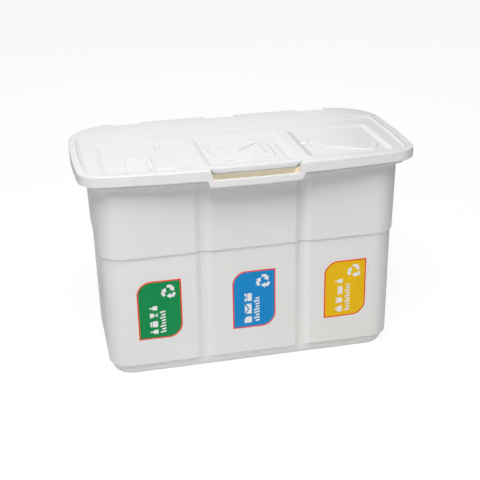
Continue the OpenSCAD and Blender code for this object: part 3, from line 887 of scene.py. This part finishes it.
def make_bin(name, x):
    top_x, wide = BIN_X - BIN_SIDE, BIN_ROUND + 4
    rows = [
        (bin_ring(x, BIN_FOOT_X - 3, BIN_FOOT_Y - 3, BIN_ROUND - 3, BIN_FOOT), 0),
        (bin_ring(x, BIN_FOOT_X, BIN_FOOT_Y, BIN_ROUND, BIN_FOOT + 3), 1.5),
        (bin_ring(x, top_x, BIN_Y, BIN_ROUND, BIN_TOP - 14), 2),
        (bin_ring(x, BIN_X, BIN_Y + BIN_FLANGE, wide, BIN_TOP - 5, LIFT), 1),
        (bin_ring(x, BIN_X, BIN_Y + BIN_FLANGE, wide, BIN_TOP, LIFT), 1.4),
        (bin_ring(x, top_x - BIN_WALL + 1, BIN_Y - BIN_WALL + 1, BIN_ROUND - BIN_WALL, BIN_TOP), 1.5),
        (bin_ring(x, top_x - BIN_WALL, BIN_Y - BIN_WALL, BIN_ROUND - BIN_WALL, BIN_TOP - 14), 1.5),
        (bin_ring(x, BIN_FOOT_X - BIN_WALL, BIN_FOOT_Y - BIN_WALL, BIN_ROUND - BIN_WALL, BIN_FOOT + 5), 2.5),
        (bin_ring(x, BIN_FOOT_X - 7, BIN_FOOT_Y - 7, BIN_ROUND - 7, BIN_FOOT + 2), 0),
    ]
    bm = bmesh.new()
    add_loft(bm, rounded(rows, 4))
    finish_piece(bm, name + "_bucket", [sand], name, [name])


for name, x in (("bin_glass", -BIN_PITCH), ("bin_paper", 0.0), ("bin_plastic", BIN_PITCH)):
    make_bin(name, x)

# %% [markdown]
# ## Hinge pins
# Each pin is a plain drawn steel rod with a chamfer at both ends. The steel shows fine lines
# along its length, so a noise is stretched along X and drives both gloss and height.

# %% Steel and pins
steel = bpy.data.materials.new("drawn_steel")
steel.use_nodes = True
tree = steel.node_tree
surface = tree.nodes["Principled BSDF"]
surface.inputs["Metallic"].default_value = 1.0
streaks = noise(tree, 1500, 3, (0.02, 1, 1))
tint = tree.nodes.new("ShaderNodeValToRGB")
tint.color_ramp.elements[0].color = (0.50, 0.50, 0.49, 1)
tint.color_ramp.elements[1].color = (0.64, 0.64, 0.63, 1)
tree.links.new(streaks, tint.inputs["Fac"])
tree.links.new(tint.outputs["Color"], surface.inputs["Base Color"])
tree.links.new(spread(tree, streaks, 0.22, 0.42), surface.inputs["Roughness"])
lines_bump = tree.nodes.new("ShaderNodeBump")
lines_bump.inputs["Distance"].default_value = 0.0001
lines_bump.inputs["Strength"].default_value = 0.4
tree.links.new(streaks, lines_bump.inputs["Height"])
tree.links.new(lines_bump.outputs["Normal"], surface.inputs["Normal"])

PIN_LONG = NOTCH + 2 * CHEEK
for name, x in zip(("hinge_pin_left", "hinge_pin_middle", "hinge_pin_right"), NOTCHES):
    bm = bmesh.new()
    rod = []
    for along, radius in ((0, PIN - 0.5), (0.5, PIN), (PIN_LONG - 0.5, PIN), (PIN_LONG, PIN - 0.5)):
        rod.append([Vector((x - PIN_LONG / 2 + along, HINGE_Y + radius * math.cos(2 * math.pi * k / 32),
                            HINGE_Z + radius * math.sin(2 * math.pi * k / 32))) for k in range(32)])
    add_loft(bm, rod)
    finish_piece(bm, name + "_rod", [steel], "lid", [name])

# %% [markdown]
# ## Labels
# A label is a printed vinyl film. Its outline has two square and two round corners, a thin red
# border, and a coloured field. The white print is simple pictures and a loop of three arrows.
# Ink on vinyl is never quite even, so a second node group adds a fine mottle.

# %% Printed vinyl
ink, ink_in, ink_out = new_group("printed_vinyl", {"Mottle": 0.06, "Gloss": 0.28},
                                 {"Ink": (0.5, 0.5, 0.5, 1)},
                                 {"Colour": "NodeSocketColor", "Roughness": "NodeSocketFloat",
                                  "Height": "NodeSocketFloat"})
mottle = noise(ink, 700, 3)
waves = noise(ink, 60, 2)
shade = ink.nodes.new("ShaderNodeHueSaturation")
ink.links.new(ink_in.outputs["Ink"], shade.inputs["Color"])
depth = math_node(ink, "MULTIPLY", math_node(ink, "SUBTRACT", mottle, 0.5), ink_in.outputs["Mottle"])
ink.links.new(math_node(ink, "ADD", depth, 1.0), shade.inputs["Value"])
ink.links.new(shade.outputs["Color"], ink_out.inputs["Colour"])
ink.links.new(math_node(ink, "ADD", ink_in.outputs["Gloss"], math_node(ink, "MULTIPLY", waves, 0.12)),
              ink_out.inputs["Roughness"])
ink.links.new(waves, ink_out.inputs["Height"])


def vinyl(name, colour, gloss_amount=0.26, mottle_amount=0.12):
    material = bpy.data.materials.new(name)
    material.use_nodes = True
    tree = material.node_tree
    surface = tree.nodes["Principled BSDF"]
    group = tree.nodes.new("ShaderNodeGroup")
    group.node_tree = ink
    group.inputs["Ink"].default_value = (*colour, 1)
    group.inputs["Gloss"].default_value = gloss_amount
    group.inputs["Mottle"].default_value = mottle_amount
    bump = tree.nodes.new("ShaderNodeBump")
    bump.inputs["Distance"].default_value = 0.0002
    bump.inputs["Strength"].default_value = 0.25
    tree.links.new(group.outputs["Colour"], surface.inputs["Base Color"])
    tree.links.new(group.outputs["Roughness"], surface.inputs["Roughness"])
    tree.links.new(group.outputs["Height"], bump.inputs["Height"])
    tree.links.new(bump.outputs["Normal"], surface.inputs["Normal"])
    surface.inputs["Specular IOR Level"].default_value = 0.2
    return material


red_ink = vinyl("red_ink", (0.86, 0.045, 0.018))
white_ink = vinyl("white_ink", (0.82, 0.82, 0.82))
green_ink = vinyl("green_ink", (0.0, 0.255, 0.068), 0.4)
blue_ink = vinyl("blue_ink", (0.002, 0.245, 0.590), 0.4)
yellow_ink = vinyl("yellow_ink", (0.840, 0.500, 0.0), 0.4)
print("inks:", [m.name for m in (red_ink, white_ink, green_ink, blue_ink, yellow_ink)])

# %% Label shapes
LABEL_W, LABEL_H, LABEL_ROUND, LABEL_Z, LABEL_PITCH = 86.0, 123.0, 28.0, 138.0, 186.0
LEAN = math.atan(BAY_DRAFT)


def leaf(inset, steps=12):
    """The label's outline, drawn in by an inset: round at the upper left and lower right."""
    w, h, r = LABEL_W / 2 - inset, LABEL_H / 2 - inset, LABEL_ROUND - inset
    out = [(w, h)]
    out += [(r - w + r * math.cos(math.radians(90 + 90 * k / steps)),
             h - r + r * math.sin(math.radians(90 + 90 * k / steps))) for k in range(steps + 1)]
    out.append((-w, -h))
    out += [(w - r + r * math.cos(math.radians(270 + 90 * k / steps)),
             r - h + r * math.sin(math.radians(270 + 90 * k / steps))) for k in range(steps + 1)]
    return out


def arrow_loop(cu, cv, size):
    """Three bent arrows that chase each other round a triangle."""
    shapes = []
    w = 0.18 * size
    for k in range(3):
        bend = [(-0.10, 0.36), (0.12, 0.36), (0.19, 0.235)]
        head = [(0.035, 0.145), (0.345, 0.325), (0.315, 0.01)]
        for shape in (stroke([(p[0] * size, p[1] * size) for p in bend], w),
                      [(p[0] * size, p[1] * size) for p in head]):
            shapes.append(turned(shape, -120 * k, cu, cv))
    return shapes


def upright(shapes, u, v, wide=1.3):
    """Turns small pictures a quarter so that they climb the label, as its print does."""
    return [[(u - t, v + s * wide) for s, t in shape] for shape in shapes]


BOTTLE = [[(0, 0), (7, 0), (7, 7.6), (4.9, 9.8), (4.9, 12.2), (2.1, 12.2), (2.1, 9.8), (0, 7.6)],
          box_shape(1.9, 13, 5.1, 15)]
JAR = [box_shape(0, 0, 10, 10.8, 2), box_shape(1, 11.8, 9, 15, 0.8)]
GLASS = [[(1.4, 15), (2.6, 7.2), (8.4, 7.2), (9.6, 15)],
         box_shape(4.6, 1.8, 6.4, 7.2), box_shape(2.2, 0, 8.8, 1.8)]
SHEET = [[(0, 0), (10.5, 0), (10.5, 10.2), (6.2, 15), (0, 15)]]
LETTER = [[(0, 0.5), (17, 0.5), (17, 11.5), (8.5, 5.2), (0, 11.5)], [(0.9, 14), (16.1, 14), (8.5, 7.8)]]
BOX = [box_shape(0, 0, 13, 8.8), [(-1.2, 14.2), (1.6, 10.2), (6.0, 10.2), (4.0, 14.2)],
       [(14.2, 14.2), (11.4, 10.2), (7.0, 10.2), (9.0, 14.2)]]
CUP = [[(1.8, 0), (8.8, 0), (10.2, 10.4), (0.4, 10.4)], box_shape(0, 11.6, 10.6, 13.4, 0.6)]
TUB = [[(1.2, 0), (12.8, 0), (14, 6.4), (0, 6.4)], box_shape(-0.6, 7.6, 14.6, 9.8, 0.8)]
JUG = [box_shape(0, 0, 10, 9.6, 1.8), [(1, 10.4), (9, 10.4), (6.6, 12.4), (3.4, 12.4)],
       box_shape(3.4, 13.2, 6.6, 15)]


def column(pictures, u, v, gap):
    shapes = []
    for picture in pictures:
        shapes += upright(picture, u, v)
        v += 1.3 * max(p[0] for shape in picture for p in shape) + gap
    return shapes


def ticks(lengths, u, v):
    """A column of slanted bars that stands for the fine print."""
    shapes = []
    for length in lengths:
        shapes.append([(u - length, v), (u - length, v + 3.3), (u, v + 5.1), (u, v + 1.8)])
        v += 6.1
    return shapes


# %% Make the labels
def make_label(kind, x, field, pictures, gap, lengths):
    face_y = bay_in(LABEL_Z) - WALL_Y

    def on_label(u, v, h):
        return (x + u, face_y - v * math.sin(LEAN) - h * math.cos(LEAN),
                LABEL_Z + v * math.cos(LEAN) - h * math.sin(LEAN))

    bm = bmesh.new()
    add_plate(bm, leaf(0), on_label, 0.1, 0.5, 0.12, 0)
    add_plate(bm, leaf(2.5), on_label, 0.42, 0.55, 0.0, 1)
    for shape in arrow_loop(18.5, 37, 32):
        add_plate(bm, shape, on_label, 0.48, 0.60, 0.0, 2)
    for shape in column(pictures, -5, -51, gap):
        add_plate(bm, shape, on_label, 0.48, 0.60, 0.0, 2)
    for shape in ticks(lengths, 10.5, -50):
        add_plate(bm, shape, on_label, 0.48, 0.60, 0.0, 2)
    return finish_piece(bm, "label_" + kind + "_film", [red_ink, field, white_ink], "tub",
                        ["label_" + kind])


make_label("glass", -LABEL_PITCH, green_ink, [BOTTLE, JAR, GLASS, BOTTLE], 5.5, [11, 8, 11, 8, 8, 11, 8, 11])
make_label("paper", 0.0, blue_ink, [SHEET, LETTER, BOX], 6, [8, 11, 8, 11, 11, 8, 8, 11, 8])
make_label("plastic", LABEL_PITCH, yellow_ink, [JUG, CUP, TUB, BOTTLE], 6, [11, 8, 8, 11, 8, 11, 8, 11, 8, 8])
